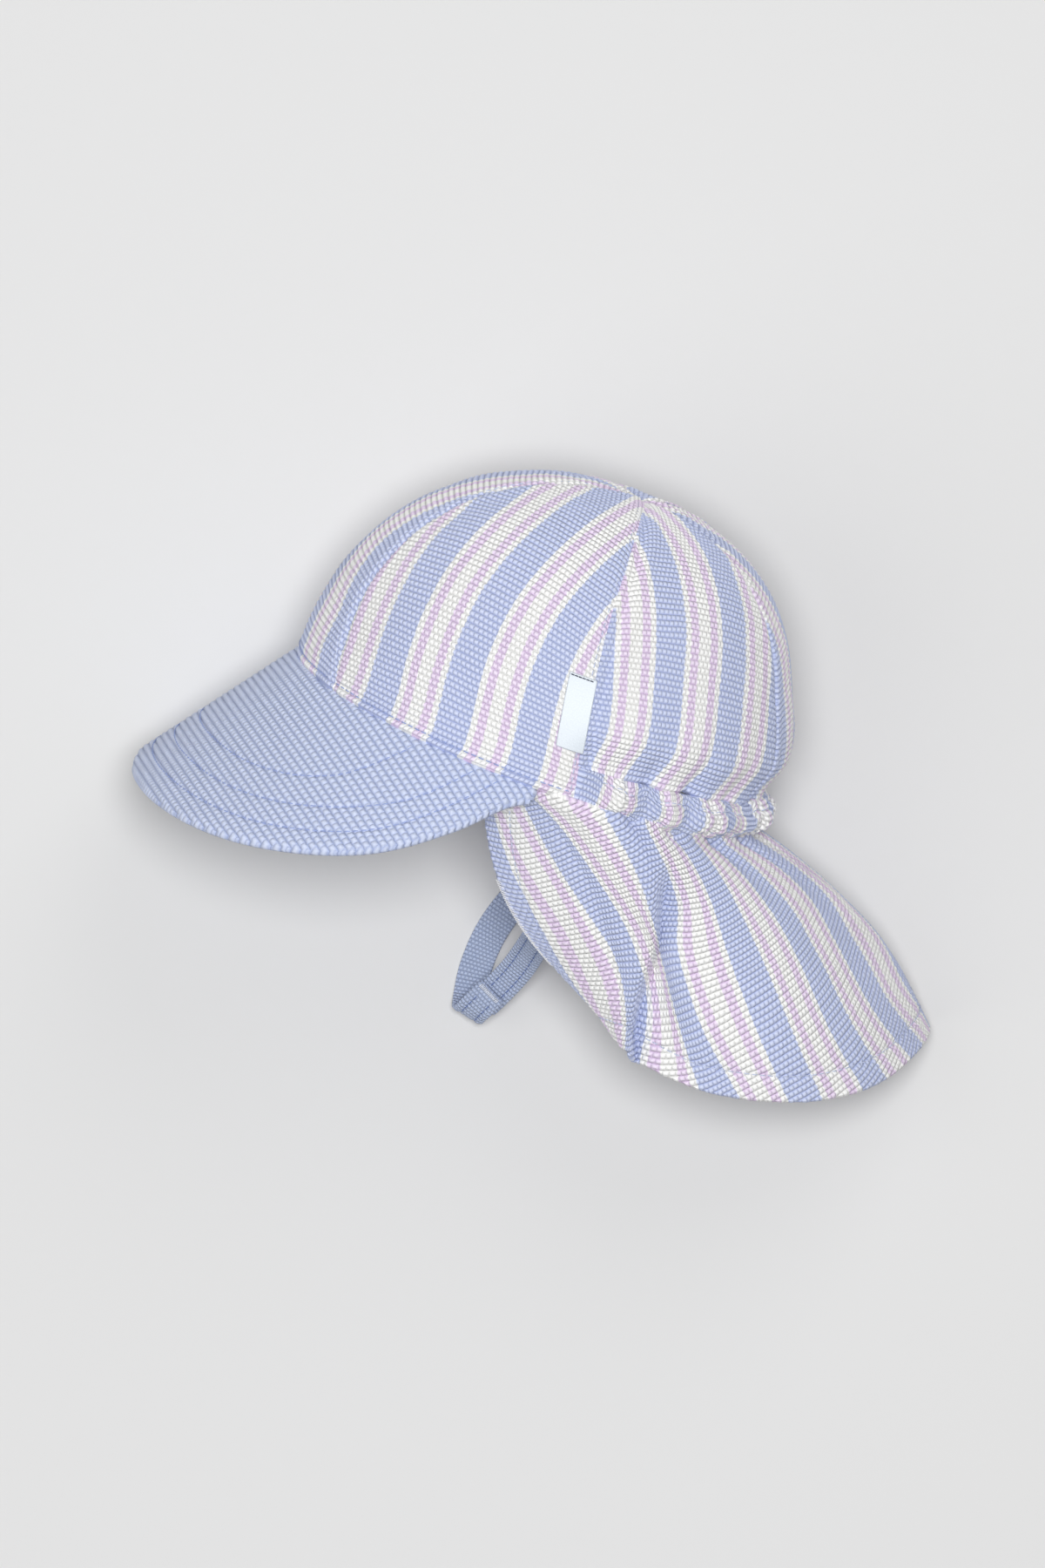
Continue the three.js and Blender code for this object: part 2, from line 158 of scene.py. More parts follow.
# Valley fold in the flap: steep on its front side, with a low ridge before it
CREASE_DEPTH = 8.0
CREASE_FRONT_WIDTH = 2.0
CREASE_BACK_WIDTH = 7.0
CREASE_RIDGE = 2.0
CREASE_RIDGE_WIDTH = 3.0
CREASE_RIDGE_AHEAD = 5.0
CREASE_BEGINS = 0.35
CREASE_REACH = 6.0
CREASE_LINE = np.array([
    # share of the way down, around
    (0, 151), (0.25, 142), (0.45, 134), (0.65, 123.5), (0.85, 117.2), (1, 115.5),
])

# Shares of the flap's columns where the closer ones at the fold begin and end
CAD_FOLD_COLUMNS = (0.64, 0.84)
FOLD_COLUMNS = (0.58, 0.74)
# How far the flap's top is tucked into the band, and how deep and long its pleats are
FLAP_TUCK_IN = 0.045
FLAP_PLEAT_DEPTH = 3.0
FLAP_PLEAT_FADE = 15.0
# How far the flap's top rises against the side panels beside the band, how that fades, and the
# azimuths off the back between which the tuck ends
EAR_LIFT = 0.9
EAR_FADE = 14.0
TUCK_ENDS = (66, 72)
# Stripes of the flap: the place across the cloth, and its azimuth at five shares of the way down
FLAP_LEVELS = np.array([0, 0.3, 0.5, 0.75, 1])
FLAP_STRIPES = np.array([
    (0, 101.6, 101.6, 101.6, 101.6, 101.6),
    (10.6, 102.9, 105.6, 107, 106.8, 106),
    (19.4, 106, 108.5, 109.6, 110.8, 110),
    (30, 110, 111.5, 113.6, 117, 112.6),
    (45, 121, 123.4, 127.2, 127, 125.7),
    (60, 140.2, 140.1, 135.3, 135, 138.7),
    (90, 157, 154.5, 153.3, 152.8, 153.2),
    (120, 169, 167.6, 166.2, 165.2, 166.9),
    (150, 190, 184.5, 179.4, 177.8, 181.9),
    (180, 212, 206, 201, 195, 197),
    (210, 226, 219, 214, 211, 212),
    (240, 241, 236, 231, 230, 231),
    (272, 258.4, 258.4, 258.4, 258.4, 258.4),
])
# Stripes of the band: azimuth, and place across the cloth
BAND_STRIPES = np.array([
    (124, 25), (126.2, 30), (130.2, 40.6), (133, 45), (136.7, 49.4), (140.7, 60), (146.3, 70.6),
    (149.3, 79.4), (153.5, 90), (159.4, 100.6), (164.3, 109.4), (168.6, 120), (171.6, 133),
    (173.4, 142), (178, 150), (186, 162), (192, 172), (200, 184), (215, 210), (228, 240), (236, 255),
])
HEM_WIDTH = 9.0
# Part of the flap's front edge whose white loops show, as shares of its length
FRONT_LOOPS = (0.34, 0.68)
# Stitching on the band, as shares of its height
BAND_STITCHES = (0.16, 0.84)
# Stitching: its distance above the front rim, and beside the crown's seams
RIM_STITCH = 2.3
SEAM_STITCH = 2.2

# Threads: pitch, length and radius of a stitch
STITCH_PITCH = 2.7
STITCH_LENGTH = 1.9
THREAD_RADIUS = 0.2
# A stitch along its length: places as shares of it, and its rise and width as shares of the radius
STITCH_PLACES = np.array([-0.5, -0.4, 0, 0.4, 0.5])
STITCH_RISE = np.array([-0.8, 0.2, 0.6, 0.2, -0.8])
STITCH_TAPER = np.array([0.4, 0.9, 1, 0.9, 0.4])
STITCH_SIDES = 6
# Stitches that differ from the plain ones
STRAP_STITCHING = dict(pitch=2.4, dash=1.8)
LOOP_STITCHING = dict(lift=0.2, pitch=1.1, dash=0.6, slant=2.8, radius=0.25)
BAR_STITCHING = dict(lift=0.5, pitch=0.5, dash=0.45, slant=1.6, radius=0.38)
LABEL_STITCHING = dict(lift=0.15, pitch=1.3, dash=1.2)

# Grooves and ridges in the cloth: depth and width
SEAM_WIDTH = 1.3
SEAM_DEPTH = (0.3, 1.1)
SEAM_ALLOWANCE = 4.0
ALLOWANCE_RIDGE = (0.35, 1.6)
RIM_GROOVE = (0.45, 0.9)
PEAK_ARC_GROOVE = (0.45, 0.8)
PEAK_RIM_GROOVE = (0.5, 1.0)
PEAK_EDGE_GROOVE = (0.8, 0.9)
BAND_END_GROOVE = (0.4, 1.0)
BAND_GROOVE = (0.8, 1.1)
HEM_GROOVE = (0.55, 0.9)
FRONT_HEM_GROOVE = (0.45, 0.9)
STRAP_EDGE_GROOVE = (0.5, 0.6)
STRAP_GROOVE = (0.35, 0.5)

# Unevenness of the cloth, as height and length: of the lines of its ribs, and of its surface
CROWN_DRIFT = (0.25, 9)
CROWN_SWELL = (0.3, 11)
BAND_DRIFT = (0.3, 8)
BAND_SWELL = (0.4, 6)
FLAP_DRIFT = (0.25, 9)
FLAP_SWELL = (0.3, 14)
# Puckers at the band: depth, spacing in degrees, and how they fade up the crown
CROWN_PUCKERS = (1.3, 3.4)
CROWN_PUCKER_FADE = 9.0
CROWN_PUCKER_SEED = 40
BAND_PUCKERS = (1.6, 2.6)
BAND_PUCKER_SEED = 41

# Chin strap: rows are x and y as shares of the reach, z as a share of the lying height, and the
# turn and lift of the ribbon's width
STRAP_WIDTH = 10.0
STRAP_THICKNESS = 1.6
STRAP_REACH = 94.0
STRAP_ROWS = 260
STRAP_COLUMNS = 21
STRAP_STITCH = 2.4
# Where the far strap's turned-back end begins, as a share of its length
FAR_STRAP_TURN = 0.78
SEWN_ROWS = ((0.07, 0.56), (0.12, 1.06), (0.18, 2.81))
NEAR_STRAP = (131, 2, -18)
NEAR_STRAP_LINE = (
    (0.319, -0.436, 1.129, -14, -8),
    (0.272, -0.647, 0.581, -33, 0),
    (0.239, -0.787, 0.323, -22, 0),
    (0.194, -0.894, 0.226, -13, 0),
    (0.17, -0.941, 0.203, -13, 0),
)
FAR_STRAP = (229, -8, 35)
FAR_STRAP_LINE = (
    (0.404, -0.181, 0.274, 22, 28),
    (0.277, -0.34, 0.129, 34, 8),
    (0.17, -0.511, 0.048, 32, 0),
    (0.113, -0.681, 0.023, 30, 0),
    (0.102, -0.83, 0.019, 30, 0),
    (0.117, -0.941, 0.042, 10, 0),
    (0.132, -0.998, 0.142, -13, 0),
    (0.145, -0.974, 0.216, -13, 0),
    (0.164, -0.936, 0.252, -13, 0),
    (0.185, -0.894, 0.265, -13, 0),
)

# Label on the left side panel
LABEL_WIDTH = 7.6
LABEL_LOW = 15.5
LABEL_HIGH = 38.6
LABEL_GAP = 0.3
LABEL_THICKNESS = 0.7
LABEL_COLUMNS = 16
LABEL_ROWS = 48

# Fabric: rib pitch and height, and the width of one repeat of the stripes
RIB_PITCH = 2.0
RIB_HEIGHT = 0.5
NUB_PITCH = 1.95
NUB_DEPTH = 0.7
PEAK_RIB_PITCH = 2.4
PEAK_NUB_PITCH = 2.2
PEAK_NUB_DEPTH = 0.6
STRAP_RIB_PITCH = 1.3
STRAP_NUB_PITCH = 1.3
STRIPE_REPEAT = 30.0
SAMPLES_PER_RIB = 4

# Camera, set from the photograph: its height in pixels, 3.5 pixels a millimetre, turned by 20 degrees
PHOTO_HEIGHT = 1800
PIXELS_PER_MM = 3.5
CAMERA_ROLL = math.radians(20)
CAMERA_DISTANCE = 3500.0
CAMERA_CENTRE = (3.3, -15.4)
SENSOR = 36.0
CLIP_END = 20.0
# Studio, in metres and watts: the floor's half size and grey, the lights and the sky
FLOOR_HALF_SIZE = 6.0
FLOOR_GREY = (217, 217, 217)
LIGHTS = [
    # name, direction in the picture, elevation, distance, size, power
    ("top", 60, 89, 3.0, 1.0, 66),
    ("key", 60, 46, 2.2, 1.6, 7),
    ("fill", 195, 50, 2.6, 2.4, 14),
]
SKY = 0.18

ALONG = np.array([-math.sin(LIE_AZIMUTH), math.cos(LIE_AZIMUTH), 0.0])
TOWARD_UP = np.array([
    math.cos(LIE_AZIMUTH) * math.cos(LIE_ELEVATION),
    math.sin(LIE_AZIMUTH) * math.cos(LIE_ELEVATION),
    math.sin(LIE_ELEVATION),
])
TOWARD_TOP = np.cross(TOWARD_UP, ALONG)


# Shapes

def smooth_step(x, low, high):
    t = np.clip((x - low) / (high - low), 0, 1)
    return t * t * (3 - 2 * t)


def mix(a, b, t):
    return a + (b - a) * t


def settle(height):
    soft = (height + LIE_SOFTNESS) ** 2 / (4 * LIE_SOFTNESS)
    return np.where(height > LIE_SOFTNESS, height, np.where(height < -LIE_SOFTNESS, 0, soft))


def lay(worn):
    return np.stack([worn @ ALONG, worn @ TOWARD_TOP, settle(worn @ TOWARD_UP + LIE_HEIGHT)], -1)


def through(table, column, at):
    """Smooth curve through one column of a table, whose first column is the place."""
    keys = table[:, 0]
    values = table[:, column]
    at = np.clip(at, keys[0], keys[-1])
    i = np.clip(np.searchsorted(keys, at, side="left") - 1, 0, len(keys) - 2)
    last = len(keys) - 1
    before = np.maximum(i - 1, 0)
    after = np.minimum(i + 2, last)
    span = keys[i + 1] - keys[i]
    t = (at - keys[i]) / span
    m0 = (values[i + 1] - values[before]) / (keys[i + 1] - keys[before]) * span
    m1 = (values[after] - values[i]) / (keys[after] - keys[i]) * span
    a = values[i]
    b = values[i + 1]
    cubic = 2 * a - 2 * b + m0 + m1
    square = 3 * b - 3 * a - 2 * m0 - m1
    return ((cubic * t + square) * t + m0) * t + a


def profile(height):
    share = np.clip(height / CROWN_HEIGHT, 0, 1)
    return (1 - share ** CROWN_FULLNESS) ** (1 / CROWN_FULLNESS)


def worn_point(around, height, outward=0.0):
    angle = np.radians(around)
    share = profile(height)
    lean = CROWN_LEAN * np.clip(height / CROWN_HEIGHT, 0, 1) ** 2
    flat = np.stack([
        (CROWN_HALF_LENGTH * share + outward) * np.cos(angle),
        (CROWN_HALF_WIDTH * share + outward) * np.sin(angle),
        height + 0 * angle,
    ], -1)
    return flat + lean[..., None] * ALONG


def pleat(around):
    return np.minimum(1, sum(np.exp(-(((around - place) / PLEAT_WIDTH) ** 2)) for place in PLEAT_AROUND))


def gathered(around):
    """How much of the gathers there is at an azimuth, from 0 to 1."""
    seam = 180 - REAR_SEAM[0]
    return 1 - smooth_step(np.abs(around - 180), seam - GATHER_BLEND, seam + GATHER_BLEND)


def gather(around, height):
    rise = smooth_step(height, NOTCH_HEIGHT, GATHER_SWELL_HEIGHT)
    fall = 1 - smooth_step(height, GATHER_SWELL_HEIGHT, GATHER_FADE_HEIGHT)
    drawn = mix(-BAND_TOP_INSET, GATHER_SWELL, rise) * fall
    crease = PLEAT_DEPTH * pleat(around) * np.exp(-(height - NOTCH_HEIGHT) / PLEAT_FADE)
    return gathered(around) * (drawn - crease * PLEAT_SHARE_ON_CROWN)


def seam_azimuth(seam, height):
    rim, top, ease = seam
    left = (1 - np.clip(height / CROWN_HEIGHT, 0, 1)) ** ease
    return top + (rim - top) * left


def fold_depth(around, down):
    """How far the valley fold and its ridge lower the flap."""
    off = around - through(CREASE_LINE, 1, down)
    front = np.exp(-((off / CREASE_FRONT_WIDTH) ** 2))
    back = np.exp(-np.maximum(off, 0) / CREASE_BACK_WIDTH)
    ridge = np.exp(-(((off + CREASE_RIDGE_AHEAD) / CREASE_RIDGE_WIDTH) ** 2))
    valley = np.where(off < 0, front, back)
    return (CREASE_DEPTH * valley - CREASE_RIDGE * ridge) * smooth_step(down, 0, CREASE_BEGINS)


def flap_point(around, down):
    ear = np.abs(around - 180)
    inset = mix(FLAP_BACK_INSET, FLAP_EAR_INSET, smooth_step(ear, *EAR_INSET_FROM))
    height = mix(FLAP_SEWN, FLAP_TUCK, smooth_step(ear, *EAR_HEIGHT_FROM))
    top = lay(worn_point(around, height, -inset))
    way = np.stack([through(FLAP_LINES, column, around) for column in (1, 2, 3)], -1)
    bow = np.stack([through(FLAP_LINES, column, around) for column in (4, 5, 6)], -1)
    share = np.asarray(down)[..., None]
    arch = np.sin(np.pi * np.clip(share, 0, 1) ** FLAP_BOW_EASE)
    point = top + FLAP_LENGTH * (way * share + bow * arch)
    point[..., 2] = settle(point[..., 2] - fold_depth(around, down))
    return point


def flap_columns(share, down, crowd):
    """Azimuths of the flap's columns, which crowd along the fold between two shares."""
    fold = through(CREASE_LINE, 1, down)
    begin, end = crowd
    before = mix(FLAP_END, fold + CREASE_REACH, share / begin)
    within = mix(fold + CREASE_REACH, fold - CREASE_REACH, (share - begin) / (end - begin))
    after = mix(fold - CREASE_REACH, FLAP_START, (share - end) / (1 - end))
    return np.where(share < begin, before, np.where(share < end, within, after))


def inside_flap(around, down, distance):
    step = 0.5
    at = lambda a, d: flap_point(np.array(float(a)), np.array(float(d)))
    across = at(around - step, down) - at(around + step, down)
    along = at(around, down + step / 100) - at(around, down - step / 100)
    inward = np.cross(across, along)
    inward /= np.linalg.norm(inward)
    return at(around, down) + inward * -(CLOTH_WALL + distance)


def peak_point(around, length, lift=0.0):
    angle = np.radians(around)
    way = np.stack([
        np.cos(angle) * math.cos(PEAK_SLOPE),
        np.sin(angle) * math.cos(PEAK_SLOPE),
        np.full_like(angle, -math.sin(PEAK_SLOPE)),
    ], -1)
    return lay(worn_point(around, np.full_like(angle, -0.3 + lift)) + way * length[..., None])


# Meshes

def unit(vectors):
    return vectors / np.maximum(np.linalg.norm(vectors, axis=-1, keepdims=True), 1e-9)


def grid_normals(points):
    return unit(np.cross(np.gradient(points, axis=1), np.gradient(points, axis=0)))


def arc_lengths(points, axis):
    steps = np.linalg.norm(np.diff(points, axis=axis), axis=-1)
    start = np.zeros_like(np.take(steps, [0], axis=axis))
    return np.concatenate([start, np.cumsum(steps, axis=axis)], axis=axis)


def grid_quads(rows, columns, start, flip=False):
    index = start + np.arange(rows * columns).reshape(rows, columns)
    quads = np.stack([index[:-1, :-1], index[:-1, 1:], index[1:, 1:], index[1:, :-1]], -1).reshape(-1, 4)
    return quads[:, ::-1] if flip else quads


class Cloth:
    """Collects grids of points with their fabric coordinates, and makes one mesh of them."""

    def __init__(self):
        self.points = []
        self.fabric = []
        self.quads = []
        self.count = 0

    def add_grid(self, points, fabric, flip=False):
        rows, columns = points.shape[:2]
        self.points.append(points.reshape(-1, 3))
        self.fabric.append(fabric.reshape(-1, 2))
        self.quads.append(grid_quads(rows, columns, self.count, flip))
        self.count += rows * columns

    def add_rim(self, outer, inner, away, fabric, flip, roundness):
        """A rounded edge from the outer face to the inner one."""
        steps = (0, 0.25, 0.75, 1)
        bulge = (0, 0.8, 0.8, 0)
        thickness = np.linalg.norm(outer - inner, axis=-1, keepdims=True)
        rows = [mix(outer, inner, s) + away * thickness * roundness * b for s, b in zip(steps, bulge)]
        self.add_grid(np.stack(rows), np.stack([fabric] * len(rows)), flip)

    def make(self, name, material, offset):
        mesh = bpy.data.meshes.new(name)
        points = (np.concatenate(self.points) + offset) * MM
        mesh.from_pydata(points.tolist(), [], np.concatenate(self.quads).tolist())
        fabric = np.concatenate(self.fabric)
        layer = mesh.attributes.new("fabric", "FLOAT_VECTOR", "POINT")
        layer.data.foreach_set("vector", np.column_stack([fabric, np.zeros(len(fabric))]).ravel())
        mesh.polygons.foreach_set("use_smooth", [True] * len(mesh.polygons))
        mesh.materials.append(material)
        mesh.update()
        obj = bpy.data.objects.new(name, mesh)
        bpy.context.scene.collection.objects.link(obj)
        return obj


def weave(u, v, nub=NUB_PITCH, pitch=RIB_PITCH, depth=NUB_DEPTH):
    """Height of the cloth: ribs of round nubs, shifted by half a nub from rib to rib."""
    rib = np.floor(v / pitch)
    along = 2 * (v / pitch - rib) - 1
    column = u / nub + 0.5 * (rib % 2)
    across = 2 * (column - np.floor(column)) - 1
    return RIB_HEIGHT * (1 - along ** 2) * (1 - depth * across ** 2)


def groove(distance, depth, width):
    return depth * np.exp(-((distance / width) ** 2))


def on_grid(grid, row, column):
    """Value of a grid of points between its rows and columns."""
    i = np.clip(np.floor(row).astype(int), 0, grid.shape[0] - 2)
    j = np.clip(np.floor(column).astype(int), 0, grid.shape[1] - 2)
    s = (row - i)[:, None]
    t = (column - j)[:, None]
    return mix(mix(grid[i, j], grid[i, j + 1], t), mix(grid[i + 1, j], grid[i + 1, j + 1], t), s)


def cloth_piece(name, base, fabric, relief, wall, material, offset, coarse=(3, 2), roundness=0.5):
    """A sheet with relief on its outer face, a plain inner face and rounded edges."""
    normals = grid_normals(base)
    outer = base + normals * relief[..., None]
    inner = base - normals * wall
    rows, columns = base.shape[:2]
    row_pick = np.unique(np.append(np.arange(0, rows, coarse[0]), rows - 1))
    column_pick = np.unique(np.append(np.arange(0, columns, coarse[1]), columns - 1))
    cloth = Cloth()
    cloth.add_grid(outer, fabric)
    cloth.add_grid(inner[row_pick][:, column_pick], fabric[row_pick][:, column_pick], flip=True)
    across = unit(np.gradient(base, axis=1))
    along = unit(np.gradient(base, axis=0))
    cloth.add_rim(outer[0], inner[0], -along[0], fabric[0], True, roundness)
    cloth.add_rim(outer[-1], inner[-1], along[-1], fabric[-1], False, roundness)
    cloth.add_rim(outer[:, 0], inner[:, 0], -across[:, 0], fabric[:, 0], False, roundness)
    cloth.add_rim(outer[:, -1], inner[:, -1], across[:, -1], fabric[:, -1], True, roundness)
    return cloth.make(name, material, offset)


def noise(u, v, scale, seed):
    """Smooth random values from -1 to 1, repeatable."""
    random = np.random.RandomState(seed)
    size = 64
    values = random.uniform(-1, 1, (size, size))
    x = u / scale + 1000
    y = v / scale + 1000
    i = np.floor(x).astype(int)
    j = np.floor(y).astype(int)
    s = x - i
    t = y - j
    s = s * s * (3 - 2 * s)
    t = t * t * (3 - 2 * t)
    pick = lambda a, b: values[a % size, b % size]
    low = mix(pick(i, j), pick(i + 1, j), s)
    high = mix(pick(i, j + 1), pick(i + 1, j + 1), s)
    return mix(low, high, t)


def uneven(u, v, size, seed):
    height, length = size
    return height * noise(u, v, length, seed)


def rib_places(base, across):
    """Distance along the cloth at right angles to its ribs, fitted over the whole sheet."""
    dot = lambda a, b: np.sum(a * b, -1)
    down_way = np.gradient(base, axis=0)
    side_way = np.gradient(base, axis=1)
    across_down = np.gradient(across, axis=0)
    across_side = np.gradient(across, axis=1)
    down_square = dot(down_way, down_way)
    skew = dot(down_way, side_way)
    side_square = dot(side_way, side_way)
    area = np.maximum(down_square * side_square - skew * skew, 1e-9)
    slope = down_way * ((side_square * across_down - skew * across_side) / area)[..., None]
    slope += side_way * ((down_square * across_side - skew * across_down) / area)[..., None]
    stripe = unit(np.cross(grid_normals(base), slope))
    if dot(stripe, down_way).mean() < 0:
        stripe = -stripe
    down_steps = dot((stripe[1:] + stripe[:-1]) / 2, np.diff(base, axis=0))
    side_steps = dot((stripe[:, 1:] + stripe[:, :-1]) / 2, np.diff(base, axis=1))
    excess = np.zeros(across.shape)
    excess[1:] += down_steps
    excess[:-1] -= down_steps
    excess[:, 1:] += side_steps
    excess[:, :-1] -= side_steps
    rows, columns = across.shape
    even = np.vstack([excess, excess[::-1]])
    even = np.hstack([even, even[:, ::-1]])
    share = lambda count: 2 - 2 * np.cos(np.pi * np.arange(2 * count) / count)
    stiffness = share(rows)[:, None] + share(columns)[None, :]
    stiffness[0, 0] = 1
    return np.real(np.fft.ifft2(np.fft.fft2(even) / stiffness))[:rows, :columns]


class Threads:
    """Collects short threads along paths, and makes one mesh of them."""

    def __init__(self):
        self.cloth = Cloth()

    def follow(self, grid, row, column, lift=0.15, pitch=STITCH_PITCH, dash=STITCH_LENGTH, slant=0.0,
               radius=THREAD_RADIUS):
        """Stitches on a piece's grid, along a path of its rows and columns."""
        row = np.asarray(row, float) + 0 * np.asarray(column, float)
        column = np.asarray(column, float) + 0 * row
        normals = on_grid(grid_normals(grid), row, column)
        points = on_grid(grid, row, column) + normals * lift
        length = np.append(0, np.cumsum(np.linalg.norm(np.diff(points, axis=0), axis=-1)))
        turns = np.arange(STITCH_SIDES + 1) * 2 * math.pi / STITCH_SIDES

        def at(values, place):
            return np.stack([np.interp(place, length, values[:, k]) for k in range(3)], -1)

        for centre in np.arange(pitch / 2, length[-1] - pitch / 2, pitch):
            places = centre + STITCH_PLACES * dash
            normal = unit(at(normals, places))
            ends = at(points, np.array([centre - 0.2, centre + 0.2]))
            side = unit(np.cross(normal, unit(ends[1] - ends[0])))
            line = at(points, places) + side * (STITCH_PLACES * slant)[:, None]
            line = line + normal * (STITCH_RISE * radius)[:, None]
            ring = np.cos(turns)[:, None] * side[:, None] + np.sin(turns)[:, None] * normal[:, None]
            tube = line[:, None] + ring * (STITCH_TAPER * radius)[:, None, None]
            fabric = np.stack([places[:, None] + 0 * turns, 0 * places[:, None] + turns], -1)
            self.cloth.add_grid(tube, fabric)


# Materials

class Nodes:
    """Short names for building a material's nodes."""

    def __init__(self, name):
        self.material = bpy.data.materials.new(name)
        self.material.use_nodes = True
        self.tree = self.material.node_tree
        self.tree.nodes.clear()
        self.out = self.tree.nodes.new("ShaderNodeOutputMaterial")
        self.shader = self.tree.nodes.new("ShaderNodeBsdfPrincipled")
        self.tree.links.new(self.shader.outputs["BSDF"], self.out.inputs["Surface"])

    def put(self, socket, value):
        if isinstance(value, bpy.types.NodeSocket):
            self.tree.links.new(value, socket)
        else:
            socket.default_value = value

    def math(self, operation, *values):
        node = self.tree.nodes.new("ShaderNodeMath")
        node.operation = operation
        for socket, value in zip(node.inputs, values):
            self.put(socket, value)
        return node.outputs[0]

    def fabric(self):
        node = self.tree.nodes.new("ShaderNodeAttribute")
        node.attribute_name = "fabric"
        split = self.tree.nodes.new("ShaderNodeSeparateXYZ")
        self.tree.links.new(node.outputs["Vector"], split.inputs[0])
        return node.outputs["Vector"], split.outputs[0], split.outputs[1]

    def noise(self, vector, scale, detail=2.0):
        node = self.tree.nodes.new("ShaderNodeTexNoise")
        node.inputs["Scale"].default_value = scale
        node.inputs["Detail"].default_value = detail
        self.tree.links.new(vector, node.inputs["Vector"])
        return node.outputs["Fac"]

    def ramp(self, value, stops):
        node = self.tree.nodes.new("ShaderNodeValToRGB")
        elements = node.color_ramp.elements
        while len(elements) > 1:
            elements.remove(elements[-1])
        elements[0].position, elements[0].color = stops[0][0], (*stops[0][1], 1)
        for place, colour in stops[1:]:
            elements.new(place).color = (*colour, 1)
        self.put(node.inputs[0], value)
        return node.outputs[0]

    def mix(self, factor, a, b, blend="MIX"):
        node = self.tree.nodes.new("ShaderNodeMix")
        node.data_type = "RGBA"
        node.blend_type = blend
        self.put(node.inputs[0], factor)
        self.put(node.inputs[6], a)
        self.put(node.inputs[7], b)
        return node.outputs[2]

    def bump(self, height, distance, strength=1.0):
        node = self.tree.nodes.new("ShaderNodeBump")
        node.inputs["Strength"].default_value = strength
        node.inputs["Distance"].default_value = distance
        self.tree.links.new(height, node.inputs["Height"])
        self.tree.links.new(node.outputs[0], self.shader.inputs["Normal"])


def linear(colour):
    """sRGB numbers from 0 to 255 as linear light."""
    share = np.array(colour) / 255.0
    return tuple(np.where(share <= 0.04045, share / 12.92, ((share + 0.055) / 1.055) ** 2.4))


BLUE = linear((207, 215, 241))
WHITE = linear((247, 247, 246))
VIOLET = linear((236, 222, 242))
PEAK_BLUE = linear((204, 213, 237))
STRAP_BLUE = linear((178, 191, 219))
LABEL_WHITE = linear((214, 222, 230))
# Stripes, by their distance from the middle of a blue one as a share of the repeat
STRIPE_STOPS = [
    (0.0, BLUE), (0.207, BLUE), (0.219, WHITE), (0.289, WHITE),
    (0.301, VIOLET), (0.402, VIOLET), (0.414, WHITE),
]
STRIPE_WOBBLE = 1.0
STRIPE_BULGE = 0.012
# Painted shade in the valleys of the weave: how much darker they are painted, in the hat's cloth and in the
# strap
VALLEY_SHADE = 0.95
STRAP_SHADE = 0.4
SPECKS = 0.5
# Powers that shape a nub and a rib, and the bump of the cloth: wrinkles as a share, height in metres
NUB_POWER = 3.0
RIB_POWER = 2.5
WRINKLES = 0.35
BUMP_HEIGHT = 0.0006
BUMP_STRENGTH = 0.9


def weave_height(nodes, u, v, nub, pitch, depth):
    """The weave as heights from 0 to 1: of its nubs, and of its ribs alone."""
    rib = nodes.math("DIVIDE", v, pitch)
    odd = nodes.math("FRACT", nodes.math("DIVIDE", nodes.math("FLOOR", rib), 2.0))
    column = nodes.math("FRACT", nodes.math("ADD", nodes.math("DIVIDE", u, nub), odd))
    off = nodes.math("SUBTRACT", nodes.math("MULTIPLY", column, 2.0), 1.0)
    across = nodes.math("SUBTRACT", 1.0, nodes.math("POWER", nodes.math("ABSOLUTE", off), NUB_POWER))
    place = nodes.math("SUBTRACT", nodes.math("MULTIPLY", nodes.math("FRACT", rib), 2.0), 1.0)
    along = nodes.math("SUBTRACT", 1.0, nodes.math("POWER", nodes.math("ABSOLUTE", place), RIB_POWER))
    nubs = nodes.math("ADD", nodes.math("MULTIPLY", across, depth), 1 - depth)
    return nodes.math("MULTIPLY", nubs, along), along


def stripe_colour(nodes, vector, u, along):
    """The stripes, with a slight wobble and each nub's colour bulging over the next."""
    wander = nodes.math("SUBTRACT", nodes.noise(vector, 0.5, 2.0), 0.5)
    wobble = nodes.math("MULTIPLY", wander, STRIPE_WOBBLE)
    moved = nodes.math("DIVIDE", nodes.math("ADD", u, wobble), STRIPE_REPEAT)
    turned = nodes.math("FRACT", nodes.math("ADD", moved, 0.5))
    away = nodes.math("ABSOLUTE", nodes.math("SUBTRACT", turned, 0.5))
    bulge = nodes.math("MULTIPLY", nodes.math("SUBTRACT", along, 0.5), STRIPE_BULGE)
    return nodes.ramp(nodes.math("SUBTRACT", away, bulge), STRIPE_STOPS)


